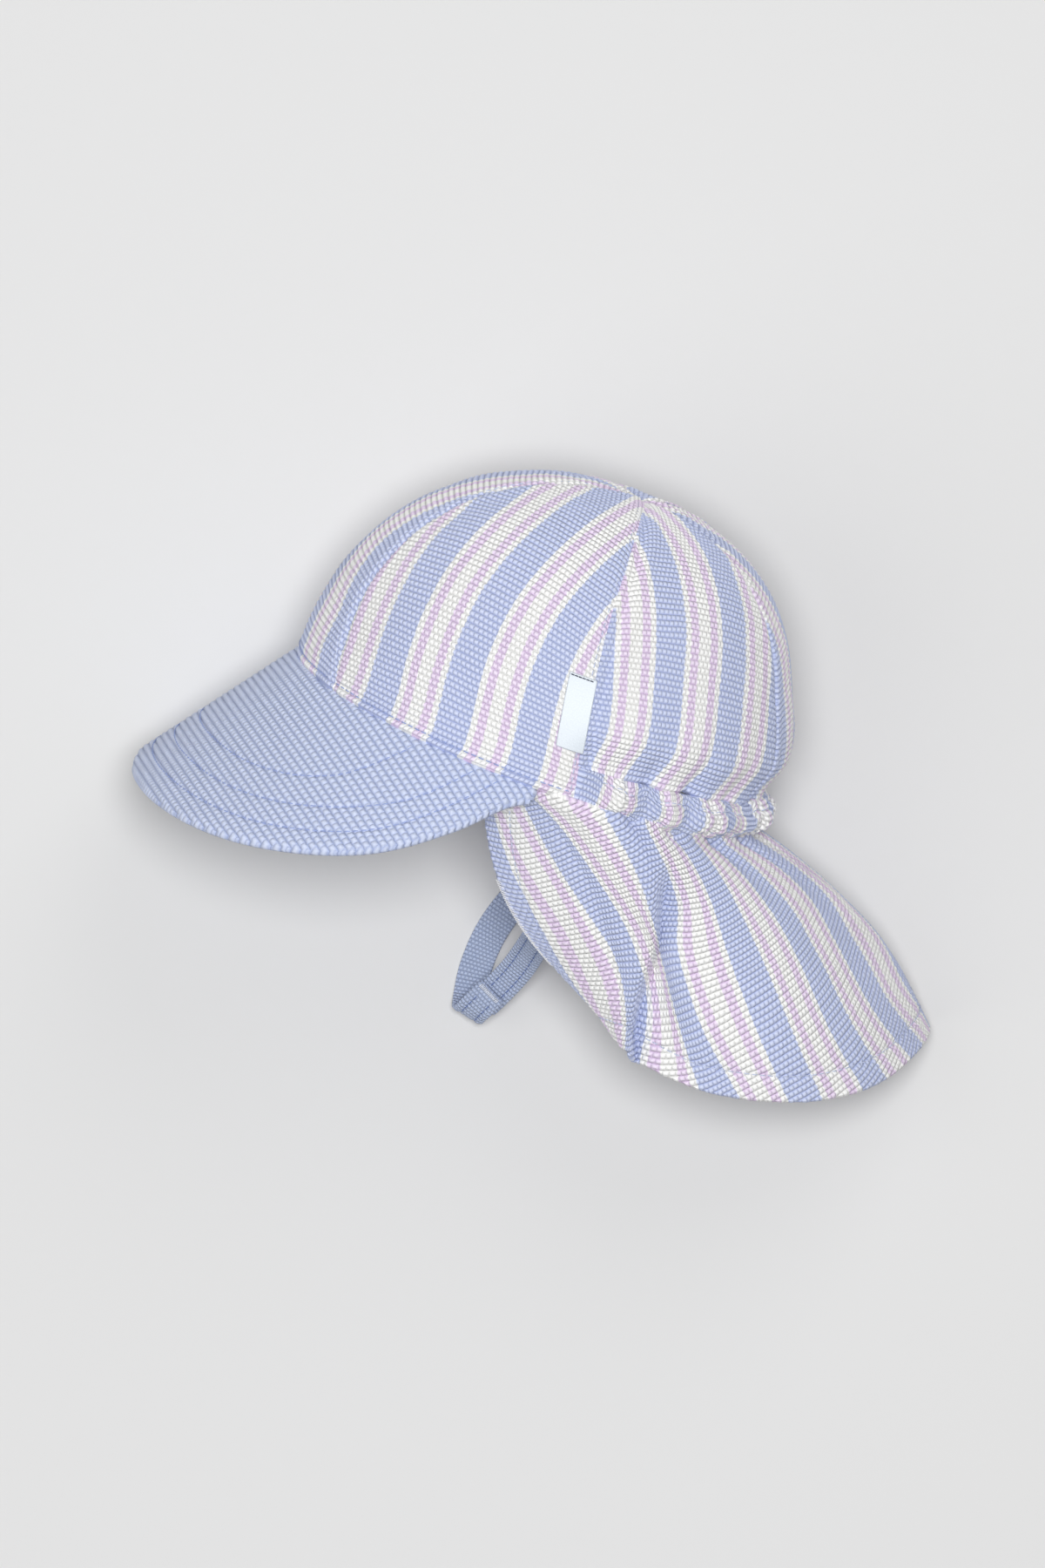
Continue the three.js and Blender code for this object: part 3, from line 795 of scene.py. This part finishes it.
def fabric_material(name, colour, nub, pitch, depth, shade):
    """Ribbed fabric: striped where its colour is None, with painted shade darkening the valleys of its
    weave.
    """
    nodes = Nodes(name)
    vector, u, v = nodes.fabric()
    height, along = weave_height(nodes, u, v, nub, pitch, depth)
    fine = nodes.noise(vector, 0.9, 3.0)
    base = stripe_colour(nodes, vector, u, along) if colour is None else (*colour, 1)
    # Painted shade: the weave's valleys are darkened towards the colour multiplied by itself, by the shade
    # share
    dark = nodes.mix(1.0, base, base, "MULTIPLY")
    valley = nodes.math("MULTIPLY", nodes.math("SUBTRACT", 1.0, height), shade)
    shaded = nodes.mix(valley, base, dark)
    speck = nodes.math("ABSOLUTE", nodes.math("MULTIPLY", nodes.math("SUBTRACT", fine, 0.5), SPECKS))
    nodes.put(nodes.shader.inputs["Base Color"], nodes.mix(speck, shaded, (*WHITE, 1)))
    nodes.shader.inputs["Roughness"].default_value = 0.62
    nodes.shader.inputs["Sheen Weight"].default_value = 0.15
    nodes.shader.inputs["Sheen Roughness"].default_value = 0.5
    nodes.shader.inputs["Specular IOR Level"].default_value = 0.35
    wrinkles = nodes.math("MULTIPLY", nodes.noise(vector, 3.0, 2.0), WRINKLES)
    nodes.bump(nodes.math("ADD", height, wrinkles), BUMP_HEIGHT, BUMP_STRENGTH)
    return nodes.material


def plain_material(name, colour, roughness=0.8):
    nodes = Nodes(name)
    vector, _, _ = nodes.fabric()
    grain = nodes.noise(vector, 2.0, 3.0)
    base = nodes.ramp(grain, [(0.3, tuple(c * 0.92 for c in colour)), (0.7, colour)])
    nodes.put(nodes.shader.inputs["Base Color"], base)
    nodes.shader.inputs["Roughness"].default_value = roughness
    nodes.bump(grain, 0.0001, 0.5)
    return nodes.material


# Where the CAD puts the hat: the flap's own box, measured on the same points

def cad_offset():
    u, v = np.meshgrid(np.linspace(0, 1, 51), np.linspace(0, 1, 12))
    surface = lambda s, t: flap_point(flap_columns(s, t, CAD_FOLD_COLUMNS), t)
    step = 0.004
    points = surface(u, v)
    across = surface(np.minimum(u + step, 1), v) - surface(np.maximum(u - step, 0), v)
    along = surface(u, np.minimum(v + step, 1)) - surface(u, np.maximum(v - step, 0))
    inner = points - unit(np.cross(across, along)) * CLOTH_WALL
    low = np.minimum(points.min((0, 1)), inner.min((0, 1)))
    return np.array(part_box("neck_flap")[0]) / MM - low


OFFSET = cad_offset()
OFFSET[2] = 0.0

STRIPED = fabric_material("striped_fabric", None, NUB_PITCH, RIB_PITCH, NUB_DEPTH, VALLEY_SHADE)
PLAIN = fabric_material(
    "plain_fabric", PEAK_BLUE, PEAK_NUB_PITCH, PEAK_RIB_PITCH, PEAK_NUB_DEPTH, VALLEY_SHADE)
STRAP = fabric_material(
    "strap_fabric", STRAP_BLUE, STRAP_NUB_PITCH, STRAP_RIB_PITCH, NUB_DEPTH, STRAP_SHADE)
LABEL = plain_material("label_tape", LABEL_WHITE, 0.45)
THREAD_BLUE = plain_material("blue_thread", linear((152, 168, 214)))
THREAD_DEEP = plain_material("deep_blue_thread", linear((108, 126, 176)))
THREAD_PALE = plain_material("pale_thread", linear((198, 206, 228)))
THREAD_WHITE = plain_material("white_thread", linear((247, 247, 247)))
THREAD_DARK = plain_material("dark_thread", linear((70, 76, 96)))

blue_threads = Threads()
deep_threads = Threads()
pale_threads = Threads()
white_threads = Threads()
dark_threads = Threads()


def place(obj, slot, *nodes):
    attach(obj, "root")
    if nodes:
        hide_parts(*nodes)
    return obj


# Crown

def fabric_rows(surface, low, high):
    """Heights at which a quarter of a rib lies between rows, along the panel's middle."""
    tries = mix(low, high, np.sin(np.linspace(0, 1, ROW_TRIES) * np.pi / 2) ** ROW_CROWDING)
    middle = surface(np.array([[0.5]]), tries[:, None])
    length = arc_lengths(middle, 0)[:, 0]
    wanted = np.arange(0, length[-1], RIB_PITCH / SAMPLES_PER_RIB)
    return np.interp(np.append(wanted, length[-1]), length, tries)


def crown_relief(striped, along, across, height, around, low, seed):
    """Height of a panel's cloth: weave, seams, the rim's stitching and the puckers at the band."""
    edge = np.abs(across[:, -1:]) - np.abs(across)
    seam_depth = mix(*SEAM_DEPTH, smooth_step(height, NOTCH_HEIGHT - 2, NOTCH_HEIGHT + 4))
    relief = weave(striped, along) + groove(edge - SEAM_ALLOWANCE, *ALLOWANCE_RIDGE)
    relief = relief - groove(edge, seam_depth, SEAM_WIDTH)
    relief += uneven(across, along, CROWN_SWELL, seed + 1)
    if low == 0:
        return relief - groove(height - RIM_STITCH, *RIM_GROOVE)
    depth, spacing = CROWN_PUCKERS
    puckers = np.maximum(0, noise(0 * around + seed, around, spacing, CROWN_PUCKER_SEED)) * gathered(around)
    return relief - depth * puckers * np.exp(-(height - low) / CROWN_PUCKER_FADE)


def stitch_crown(name, base, heights, half, low):
    """Stitches on a panel: along its rim, and beside the seams where the cloth is turned under."""
    rows = np.arange(len(heights))
    last = CROWN_COLUMNS - 1
    if low == 0:
        rim_row = np.interp(RIM_STITCH, heights, rows)
        blue_threads.follow(base, rim_row, np.linspace(1, last - 1, CROWN_COLUMNS))
    sides = {"front": (1, 1), "side": (0, 1), "back": (0, 0)}[name.split("_")[1]]
    if name.endswith("right"):
        sides = sides[::-1]
    span = half * 2 / last
    stitched = rows[(half > 6) & (heights > low + 2)]
    from_edge = SEAM_STITCH / span[stitched]
    for column, wanted in zip((from_edge, last - from_edge), sides):
        if wanted:
            pale_threads.follow(base, stitched, column, lift=0.2)


def crown_panel(name, start, end, low, stripe_place, seed):
    high = CROWN_HEIGHT * (1 - (APEX_HOLE / CROWN_HALF_WIDTH) ** CROWN_FULLNESS) ** (1 / CROWN_FULLNESS)

    def surface(u, height):
        around = mix(start(height), end(height), u)
        return lay(worn_point(around, height + 0 * u, gather(around, height)))

    heights = fabric_rows(surface, low, high)
    u, height = np.meshgrid(np.linspace(0, 1, CROWN_COLUMNS), heights)
    around = mix(start(height), end(height), u)
    base = surface(u, height)
    middle = slice(CROWN_COLUMNS // 2, CROWN_COLUMNS // 2 + 1)
    across = arc_lengths(base, 1)
    across = across - across[:, middle]
    up = arc_lengths(base, 0)[:, middle]
    latitude = np.arcsin(np.clip(height / CROWN_HEIGHT, 0, 0.999))
    turn = np.radians((end(height) - start(height)) * (u - 0.5))
    drop = RIB_RADIUS * (np.arctan(np.tan(latitude) / np.cos(turn)) - latitude)
    along = up + drop + uneven(across, up + 0 * across, CROWN_DRIFT, seed)
    striped = stripe_place(across if name.endswith("left") else -across, up)
    relief = crown_relief(striped, along, across, height, around, low, seed)
    fabric = np.stack([striped, along], -1)
    obj = cloth_piece(name, base, fabric, relief, CLOTH_WALL, STRIPED, OFFSET)
    stitch_crown(name, base, heights, np.abs(across[:, -1]), low)
    return place(obj, "striped_fabric", name)


def front_left(height):
    return seam_azimuth(FRONT_SEAM, height)


def rear_left(height):
    return seam_azimuth(REAR_SEAM, height)


def front_stripes(across, up):
    """Place across the striped cloth of a front panel, from the distances across and up it."""
    return across + 8.5 * smooth_step(up, 20, 50)


def side_stripes(across, up):
    bend = 4.5 * np.exp(-up / 6) + 3.3 * (np.maximum(0, up - 65) ** 2) / 1000
    return 1.062 * across + 24.3 + 0.0016 * across ** 2 + bend


def back_stripes(across, up):
    return 1.24 * across + 48.2 + 3.5 * np.exp(-up / 9) * smooth_step(across, -32, -18)


def build_crown():
    zero = lambda height: 0 * height
    back = lambda height: 180 + 0 * height
    crown_panel("crown_front_left", zero, front_left, 0.0, front_stripes, 1)
    crown_panel("crown_side_left", front_left, rear_left, 0.0, side_stripes, 2)
    crown_panel("crown_back_left", rear_left, back, NOTCH_HEIGHT, back_stripes, 3)
    crown_panel("crown_back_right", back, lambda h: 360 - rear_left(h), NOTCH_HEIGHT, back_stripes, 4)
    crown_panel("crown_side_right", lambda h: -rear_left(h), lambda h: -front_left(h), 0.0, side_stripes, 5)
    crown_panel("crown_front_right", lambda h: -front_left(h), zero, 0.0, front_stripes, 6)


# Peak

def build_peak():
    azimuths = np.linspace(PEAK_HALF_SPAN, -PEAK_HALF_SPAN, PEAK_COLUMNS)
    u, v = np.meshgrid(azimuths, np.linspace(0, 1, PEAK_ROWS))
    full = PEAK_LENGTH * through(PEAK_EDGE, 1, np.abs(u))
    length = full * v
    base = peak_point(u, length)
    angle = np.radians(u * PEAK_FLAT_SHARE - PEAK_GRAIN)
    forward = (PEAK_FLAT_RADIUS + length) * np.cos(angle)
    sideways = (PEAK_FLAT_RADIUS + length) * np.sin(angle)
    relief = weave(sideways, forward, PEAK_NUB_PITCH, PEAK_RIB_PITCH, PEAK_NUB_DEPTH) - PEAK_SUNK
    for arc in PEAK_ARCS:
        inside = smooth_step(arc[-1, 0] - np.abs(u), -1, 1)
        relief -= groove(length - through(arc, 1, np.abs(u)), *PEAK_ARC_GROOVE) * inside
    relief -= groove(length, *PEAK_RIM_GROOVE) + groove(full - length, *PEAK_EDGE_GROOVE)
    fabric = np.stack([sideways, forward], -1)
    obj = cloth_piece("peak", base, fabric, relief, PEAK_THICKNESS, PLAIN, OFFSET, coarse=(4, 4))
    for arc in PEAK_ARCS:
        around = np.linspace(arc[-1, 0], -arc[-1, 0], 300)
        edge = PEAK_LENGTH * through(PEAK_EDGE, 1, np.abs(around))
        row = through(arc, 1, np.abs(around)) / edge * (PEAK_ROWS - 1)
        column = (PEAK_HALF_SPAN - around) / (2 * PEAK_HALF_SPAN) * (PEAK_COLUMNS - 1)
        blue_threads.follow(base, row, column, lift=-PEAK_SUNK)
    return place(obj, "plain_fabric", "peak")


# Band

def build_band():
    u, share = np.meshgrid(np.linspace(0, 1, BAND_COLUMNS), np.linspace(0, 1, BAND_ROWS))
    height = mix(BAND_LOW, BAND_HIGH, share)
    start = rear_left(height) - BAND_LAP
    around = mix(start, 360 - start, u)
    swell = np.sin(np.pi * share)
    seam = 180 - REAR_SEAM[0]
    ends = 1 - smooth_step(np.abs(around - 180), seam - BAND_TAPER, seam)
    puff = (BAND_PUFF * swell ** BAND_PUFF_FULLNESS - PLEAT_DEPTH * pleat(around) * swell) * ends
    inset = BAND_TOP_INSET * gathered(around) * mix(BAND_END_INSET, 1, ends)
    base = lay(worn_point(around, height, puff - inset))
    across = arc_lengths(base, 1)
    up = arc_lengths(base, 0)
    along = up + uneven(across, up, BAND_DRIFT, 21)
    striped = through(BAND_STRIPES, 1, around)
    fabric = np.stack([striped, along], -1)
    depth, spacing = BAND_PUCKERS
    puckers = np.maximum(0, noise(around, 0 * share + 5, spacing, BAND_PUCKER_SEED))
    relief = weave(striped, along) + uneven(across, up, BAND_SWELL, 22) - depth * puckers * ends
    relief -= groove(np.minimum(across, across[:, -1:] - across), *BAND_END_GROOVE)
    for stitch in BAND_STITCHES:
        relief -= groove((share - stitch) * (BAND_HIGH - BAND_LOW), *BAND_GROOVE) * ends
    outer = base + grid_normals(base) * relief[..., None]
    inner = lay(worn_point(around, height, -BAND_INSIDE))
    cloth = Cloth()
    cloth.add_grid(outer, fabric)
    cloth.add_grid(inner, fabric, flip=True)
    everything = slice(None)
    for edge, flip in ((0, True), (-1, False), ((everything, 0), False), ((everything, -1), True)):
        cloth.add_rim(outer[edge], inner[edge], 0 * outer[edge], fabric[edge], flip, 0)
    for stitch in BAND_STITCHES:
        row = stitch * (BAND_ROWS - 1)
        pale_threads.follow(outer, row, np.arange(1.0, BAND_COLUMNS - 2), lift=0.1)
    return place(cloth.make("back_band_cloth", STRIPED, OFFSET), "striped_fabric", "back_band")


# Flap

def flap_place(around, down):
    """Place across the striped cloth, at each azimuth of each row."""
    lines = [through(np.column_stack([FLAP_LEVELS, row[1:]]), 1, down) for row in FLAP_STRIPES]
    places = FLAP_STRIPES[:, 0]
    rows = []
    for keys, at in zip(np.array(lines).T, around):
        rows.append(through(np.column_stack([keys, places]), 1, at))
    return np.array(rows)


def build_flap():
    share, down = np.meshgrid(np.linspace(0, 1, FLAP_COLUMNS), np.linspace(0, 1, FLAP_ROWS))
    around = flap_columns(share, down, FOLD_COLUMNS)
    down = down - FLAP_TUCK_IN * (1 - down) * (1 - smooth_step(np.abs(around - 180), *TUCK_ENDS))
    base = flap_point(around, down)
    below_top = np.maximum(down, 0) * FLAP_LENGTH
    pleats = FLAP_PLEAT_DEPTH * pleat(around) * gathered(around)
    ears = EAR_LIFT * (1 - gathered(around)) * np.exp(-below_top / EAR_FADE)
    base = base + grid_normals(base) * (ears - pleats * np.exp(-below_top / FLAP_PLEAT_FADE))[..., None]
    across = flap_place(around, down[:, 0])
    along = rib_places(base, across)
    along = along + uneven(across, along, FLAP_DRIFT, 31)
    relief = weave(across, along) + uneven(across, along, FLAP_SWELL, 32)
    from_hem = arc_lengths(base, 0)
    from_hem = from_hem[-1] - from_hem
    from_front = arc_lengths(base, 1)
    from_front = from_front[:, -1:] - from_front
    relief -= groove(from_hem - HEM_WIDTH, *HEM_GROOVE) + groove(from_front - HEM_WIDTH, *FRONT_HEM_GROOVE)
    fabric = np.stack([across, along], -1)
    obj = cloth_piece("neck_flap_cloth", base, fabric, relief, CLOTH_WALL, STRIPED, OFFSET, coarse=(4, 3))
    place(obj, "striped_fabric", "neck_flap")
    stitch_flap(base, from_hem, from_front)


def stitch_flap(base, from_hem, from_front):
    """Stitches along both hems, and the white loops of the front edge."""
    rows = np.arange(FLAP_ROWS)
    columns = np.arange(FLAP_COLUMNS)
    row_at = np.array([np.interp(-HEM_WIDTH, -from_hem[:, j], rows) for j in columns])
    column_at = np.array([np.interp(-HEM_WIDTH, -from_front[i], columns) for i in rows])
    hem = columns < column_at[-1]
    pale_threads.follow(base, row_at[hem], columns[hem], lift=0.1)
    front = rows < row_at[-1]
    pale_threads.follow(base, rows[front], column_at[front], lift=0.1)
    loops = np.arange(FLAP_ROWS * FRONT_LOOPS[0], FLAP_ROWS * FRONT_LOOPS[1])
    white_threads.follow(base, loops, FLAP_COLUMNS - 1.0, **LOOP_STITCHING)


# Chin strap

def strap_line(rows, count):
    """Centripetal curve through the rows' points, with their angles in even steps between."""
    points = rows[:, :3]
    points = np.vstack([2 * points[0] - points[1], points, 2 * points[-1] - points[-2]])
    place = np.linspace(0, len(rows) - 1, count)
    i = np.minimum(place.astype(int), len(rows) - 2)
    w = (place - i)[:, None]
    p0, p1, p2, p3 = (points[i + k] for k in range(4))
    gap = lambda a, b: np.linalg.norm(b - a, axis=-1, keepdims=True) ** 0.5
    d0, d1, d2 = gap(p0, p1), gap(p1, p2), gap(p2, p3)
    t1 = ((p1 - p0) / d0 - (p2 - p0) / (d0 + d1) + (p2 - p1) / d1) * d1
    t2 = ((p2 - p1) / d1 - (p3 - p1) / (d1 + d2) + (p3 - p2) / d2) * d1
    line = p1 + t1 * w + (3 * p2 - 3 * p1 - 2 * t1 - t2) * w ** 2 + (2 * p1 - 2 * p2 + t1 + t2) * w ** 3
    return line, np.radians(mix(rows[i, 3:], rows[i + 1, 3:], w))


def ribbon(name, sewn, free_rows, facing):
    around, turn, lift = sewn
    rows = []
    for down, gap in SEWN_ROWS:
        rows.append((*inside_flap(around, down, (gap + 0.5) * STRAP_THICKNESS), turn, lift))
    scale = np.array([STRAP_REACH, STRAP_REACH, LIE_HEIGHT, 1, 1])
    rows = np.vstack([np.array(rows), np.array(free_rows, float) * scale])
    line, angles = strap_line(rows, STRAP_ROWS)
    turns, lifts = angles[:, 0], angles[:, 1]
    way = unit(np.gradient(line, axis=0))
    across = np.stack([np.cos(turns) * np.cos(lifts), np.sin(turns) * np.cos(lifts), np.sin(lifts)], -1)
    across = facing * unit(across - way * np.sum(across * way, -1, keepdims=True))
    face = np.cross(across, way)
    side = np.linspace(-0.5, 0.5, STRAP_COLUMNS)
    base = line[:, None] + across[:, None] * side[None, :, None] * STRAP_WIDTH
    base = base + face[:, None] * STRAP_THICKNESS / 2
    along = arc_lengths(line[:, None], 0) + 0 * base[..., 0]
    width = side[None, :] * STRAP_WIDTH + 0 * along
    inset = STRAP_WIDTH / 2 - np.abs(width)
    relief = -groove(inset, *STRAP_EDGE_GROOVE) - groove(inset - STRAP_STITCH, *STRAP_GROOVE)
    fabric = np.stack([width, along], -1)
    obj = cloth_piece(name, base, fabric, relief, STRAP_THICKNESS, STRAP, OFFSET, coarse=(1, 1))
    return obj, base


def build_straps():
    near, near_base = ribbon("chin_strap_near_cloth", NEAR_STRAP, NEAR_STRAP_LINE, -1)
    place(near, "strap_fabric", "chin_strap_near")
    far, far_base = ribbon("chin_strap_far_cloth", FAR_STRAP, FAR_STRAP_LINE, 1)
    place(far, "strap_fabric", "chin_strap_far")
    last = STRAP_COLUMNS - 1
    inset = STRAP_STITCH / STRAP_WIDTH * last
    turned = np.arange(STRAP_ROWS * FAR_STRAP_TURN, STRAP_ROWS - 10)
    for column in (inset, last - inset):
        deep_threads.follow(near_base, np.arange(STRAP_ROWS - 1.0), column, lift=0.05, **STRAP_STITCHING)
        deep_threads.follow(far_base, turned, column, lift=0.2, **STRAP_STITCHING)
    path = np.linspace(1, last - 3, 40)
    white_threads.follow(far_base, STRAP_ROWS - 4.0, path, **BAR_STITCHING)


# Label

def build_label():
    u, v = np.meshgrid(np.linspace(0, 1, LABEL_COLUMNS), np.linspace(0, 1, LABEL_ROWS))
    height = mix(LABEL_LOW, LABEL_HIGH, v)
    radius = CROWN_HALF_WIDTH * profile(height)
    edge = rear_left(height) - np.degrees(LABEL_GAP / radius)
    around = mix(edge - np.degrees(LABEL_WIDTH / radius), edge, u)
    base = lay(worn_point(around, height, gather(around, height) + LABEL_GAP + LABEL_THICKNESS))
    fabric = np.stack([u * LABEL_WIDTH, v * (LABEL_HIGH - LABEL_LOW)], -1)
    obj = cloth_piece("side_label_tape", base, fabric, 0 * u, LABEL_THICKNESS, LABEL, OFFSET, coarse=(1, 1))
    path = np.linspace(0.3, LABEL_COLUMNS - 1.3, 30)
    dark_threads.follow(base, LABEL_ROWS - 2.0, path, **LABEL_STITCHING)
    return place(obj, "label_tape", "side_label")


# Camera, lights and floor

def build_camera():
    centre = np.array([CAMERA_CENTRE[0] + OFFSET[0], CAMERA_CENTRE[1] + OFFSET[1], 0.0])
    data = bpy.data.cameras.new("camera")
    data.sensor_width = SENSOR
    reach = CAMERA_DISTANCE - LIE_HEIGHT
    data.lens = SENSOR * reach / (PHOTO_HEIGHT / PIXELS_PER_MM)
    data.clip_end = CLIP_END
    camera = bpy.data.objects.new("camera", data)
    camera.location = Vector((centre[0], centre[1], CAMERA_DISTANCE)) * MM
    camera.rotation_euler = (0, 0, CAMERA_ROLL)
    bpy.context.scene.collection.objects.link(camera)
    bpy.context.scene.camera = camera


def build_floor():
    size = FLOOR_HALF_SIZE
    mesh = bpy.data.meshes.new("floor")
    corners = [(-size, -size, 0), (size, -size, 0), (size, size, 0), (-size, size, 0)]
    mesh.from_pydata(corners, [], [(0, 1, 2, 3)])
    nodes = Nodes("floor")
    nodes.shader.inputs["Base Color"].default_value = (*linear(FLOOR_GREY), 1)
    nodes.shader.inputs["Roughness"].default_value = 0.9
    nodes.shader.inputs["Specular IOR Level"].default_value = 0.1
    mesh.materials.append(nodes.material)
    floor = bpy.data.objects.new("floor", mesh)
    bpy.context.scene.collection.objects.link(floor)


def build_light(name, image_way, elevation, distance, size, power):
    angle = math.radians(image_way) + CAMERA_ROLL
    tall = math.radians(elevation)
    way = Vector((math.cos(angle) * math.cos(tall), math.sin(angle) * math.cos(tall), math.sin(tall)))
    data = bpy.data.lights.new(name, "AREA")
    data.shape = "DISK"
    data.size = size
    data.energy = power
    light = bpy.data.objects.new(name, data)
    light.location = way * distance
    light.rotation_euler = way.to_track_quat("Z", "Y").to_euler()
    bpy.context.scene.collection.objects.link(light)


def build_studio():
    build_camera()
    build_floor()
    for light in LIGHTS:
        build_light(*light)
    world = bpy.data.worlds.new("world")
    world.use_nodes = True
    background = world.node_tree.nodes["Background"]
    background.inputs["Color"].default_value = (1, 1, 1, 1)
    background.inputs["Strength"].default_value = SKY
    bpy.context.scene.world = world
    bpy.context.scene.view_settings.view_transform = "Standard"


build_studio()
build_crown()
build_peak()
build_band()
build_flap()
build_straps()
build_label()
for threads, name, material in (
    (blue_threads, "blue_stitches", THREAD_BLUE),
    (deep_threads, "deep_blue_stitches", THREAD_DEEP),
    (pale_threads, "pale_stitches", THREAD_PALE),
    (white_threads, "white_stitches", THREAD_WHITE),
    (dark_threads, "dark_stitches", THREAD_DARK),
):
    place(threads.cloth.make(name, material, OFFSET), "plain_fabric")
